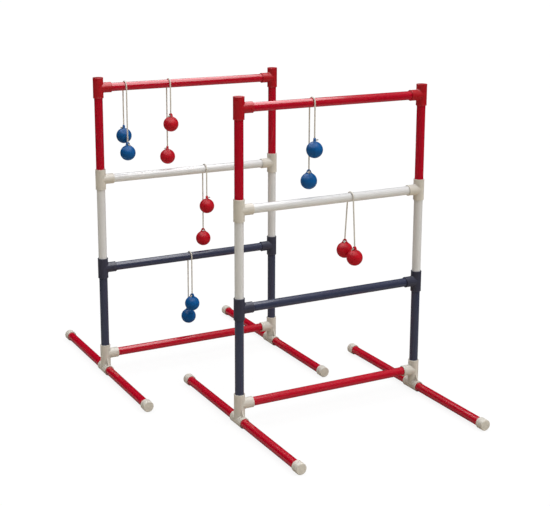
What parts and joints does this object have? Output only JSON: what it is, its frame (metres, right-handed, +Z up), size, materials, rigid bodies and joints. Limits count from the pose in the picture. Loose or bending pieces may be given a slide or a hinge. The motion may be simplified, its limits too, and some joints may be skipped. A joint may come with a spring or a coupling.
{
  "type": "ladder toss set",
  "caption": "Ladder toss lawn game set: red, white and navy pipe ladders standing on long feet, with red and blue two-ball bolas hanging over the rungs.",
  "frame": {"origin": "on the ground, in the middle of the set's footprint", "axes": "+X along the rungs, to the right seen from the front; +Y from the front ladder to the back one; +Z up"},
  "size_m": [0.8002, 1.248, 0.9169],
  "materials": {
    "pipe_red": "glossy extruded plastic pipe",
    "pipe_white": "glossy extruded plastic pipe",
    "pipe_navy": "glossy extruded plastic pipe",
    "fitting_red": "satin moulded plastic",
    "fitting_white": "satin moulded plastic",
    "fitting_navy": "satin moulded plastic",
    "ball_red": "matte soft rubber",
    "ball_blue": "matte soft rubber",
    "cord": "braided off-white cord"
  },
  "bodies": {
    "root": {"front_ground_bar": "pipe_red", "front_foot_caps": "fitting_white", "front_left_base_fitting": "fitting_white", "front_left_foot_pipes": "pipe_red", "front_right_base_fitting": "fitting_white", "front_right_foot_pipes": "pipe_red", "front_lower_rung": "pipe_navy", "front_lower_left_tee": "fitting_navy", "front_lower_left_upright": "pipe_navy", "front_lower_right_tee": "fitting_navy", "front_lower_right_upright": "pipe_navy", "front_middle_rung": "pipe_white", "front_middle_left_tee": "fitting_white", "front_middle_left_upright": "pipe_white", "front_middle_right_tee": "fitting_white", "front_middle_right_upright": "pipe_white", "front_top_rung": "pipe_red", "front_top_left_tee": "fitting_red", "front_top_left_upright": "pipe_red", "front_top_right_tee": "fitting_red", "front_top_right_upright": "pipe_red", "back_ground_bar": "pipe_red", "back_foot_caps": "fitting_white", "back_left_base_fitting": "fitting_white", "back_left_foot_pipes": "pipe_red", "back_right_base_fitting": "fitting_white", "back_right_foot_pipes": "pipe_red", "back_lower_rung": "pipe_navy", "back_lower_left_tee": "fitting_navy", "back_lower_left_upright": "pipe_navy", "back_lower_right_tee": "fitting_navy", "back_lower_right_upright": "pipe_navy", "back_middle_rung": "pipe_white", "back_middle_left_tee": "fitting_white", "back_middle_left_upright": "pipe_white", "back_middle_right_tee": "fitting_white", "back_middle_right_upright": "pipe_white", "back_top_rung": "pipe_red", "back_top_left_tee": "fitting_red", "back_top_left_upright": "pipe_red", "back_top_right_tee": "fitting_red", "back_top_right_upright": "pipe_red"},
    "back_top_blue_bola": {"back_top_blue_cord": "cord", "back_top_blue_front_ball": "ball_blue"},
    "back_top_blue_rear_leg": {"back_top_blue_rear_ball": "ball_blue"},
    "back_top_red_bola": {"back_top_red_cord": "cord", "back_top_red_front_ball": "ball_red"},
    "back_top_red_rear_leg": {"back_top_red_rear_ball": "ball_red"},
    "back_middle_red_bola": {"back_middle_red_cord": "cord", "back_middle_red_front_ball": "ball_red"},
    "back_middle_red_rear_leg": {"back_middle_red_rear_ball": "ball_red"},
    "back_lower_blue_bola": {"back_lower_blue_cord": "cord", "back_lower_blue_front_ball": "ball_blue"},
    "back_lower_blue_rear_leg": {"back_lower_blue_rear_ball": "ball_blue"},
    "front_top_blue_bola": {"front_top_blue_cord": "cord", "front_top_blue_front_ball": "ball_blue"},
    "front_top_blue_rear_leg": {"front_top_blue_rear_ball": "ball_blue"},
    "front_middle_red_bola": {"front_middle_red_cord": "cord", "front_middle_red_front_ball": "ball_red"},
    "front_middle_red_rear_leg": {"front_middle_red_rear_ball": "ball_red"}
  },
  "joints": [
    {"name": "back_top_blue_swing", "type": "hinge", "parent": "root", "child": "back_top_blue_bola", "pos_m": [-0.3015, 0.274, 0.8864], "axis": [1, 0, 0], "range_deg": [-50, 50]},
    {"name": "back_top_blue_spread", "type": "hinge", "parent": "back_top_blue_bola", "child": "back_top_blue_rear_leg", "pos_m": [-0.3015, 0.274, 0.8864], "axis": [1, 0, 0], "range_deg": [0, 40], "deforming": ["back_top_blue_cord"]},
    {"name": "back_top_red_swing", "type": "hinge", "parent": "root", "child": "back_top_red_bola", "pos_m": [-0.1605, 0.274, 0.8864], "axis": [1, 0, 0], "range_deg": [-50, 50]},
    {"name": "back_top_red_spread", "type": "hinge", "parent": "back_top_red_bola", "child": "back_top_red_rear_leg", "pos_m": [-0.1605, 0.274, 0.8864], "axis": [1, 0, 0], "range_deg": [0, 40], "deforming": ["back_top_red_cord"]},
    {"name": "back_middle_red_swing", "type": "hinge", "parent": "root", "child": "back_middle_red_bola", "pos_m": [-0.0425, 0.274, 0.6114], "axis": [1, 0, 0], "range_deg": [-50, 50]},
    {"name": "back_middle_red_spread", "type": "hinge", "parent": "back_middle_red_bola", "child": "back_middle_red_rear_leg", "pos_m": [-0.0425, 0.274, 0.6114], "axis": [1, 0, 0], "range_deg": [0, 40], "deforming": ["back_middle_red_cord"]},
    {"name": "back_lower_blue_swing", "type": "hinge", "parent": "root", "child": "back_lower_blue_bola", "pos_m": [-0.0965, 0.274, 0.3364], "axis": [1, 0, 0], "range_deg": [-50, 50]},
    {"name": "back_lower_blue_spread", "type": "hinge", "parent": "back_lower_blue_bola", "child": "back_lower_blue_rear_leg", "pos_m": [-0.0965, 0.274, 0.3364], "axis": [1, 0, 0], "range_deg": [0, 40], "deforming": ["back_lower_blue_cord"]},
    {"name": "front_top_blue_swing", "type": "hinge", "parent": "root", "child": "front_top_blue_bola", "pos_m": [0.0265, -0.274, 0.8864], "axis": [1, 0, 0], "range_deg": [-50, 50]},
    {"name": "front_top_blue_spread", "type": "hinge", "parent": "front_top_blue_bola", "child": "front_top_blue_rear_leg", "pos_m": [0.0265, -0.274, 0.8864], "axis": [1, 0, 0], "range_deg": [0, 40], "deforming": ["front_top_blue_cord"]},
    {"name": "front_middle_red_swing", "type": "hinge", "parent": "root", "child": "front_middle_red_bola", "pos_m": [0.1535, -0.274, 0.6114], "axis": [1, 0, 0], "range_deg": [-50, 50]},
    {"name": "front_middle_red_spread", "type": "hinge", "parent": "front_middle_red_bola", "child": "front_middle_red_rear_leg", "pos_m": [0.1535, -0.274, 0.6114], "axis": [1, 0, 0], "range_deg": [0, 40], "deforming": ["front_middle_red_cord"]}
  ]
}
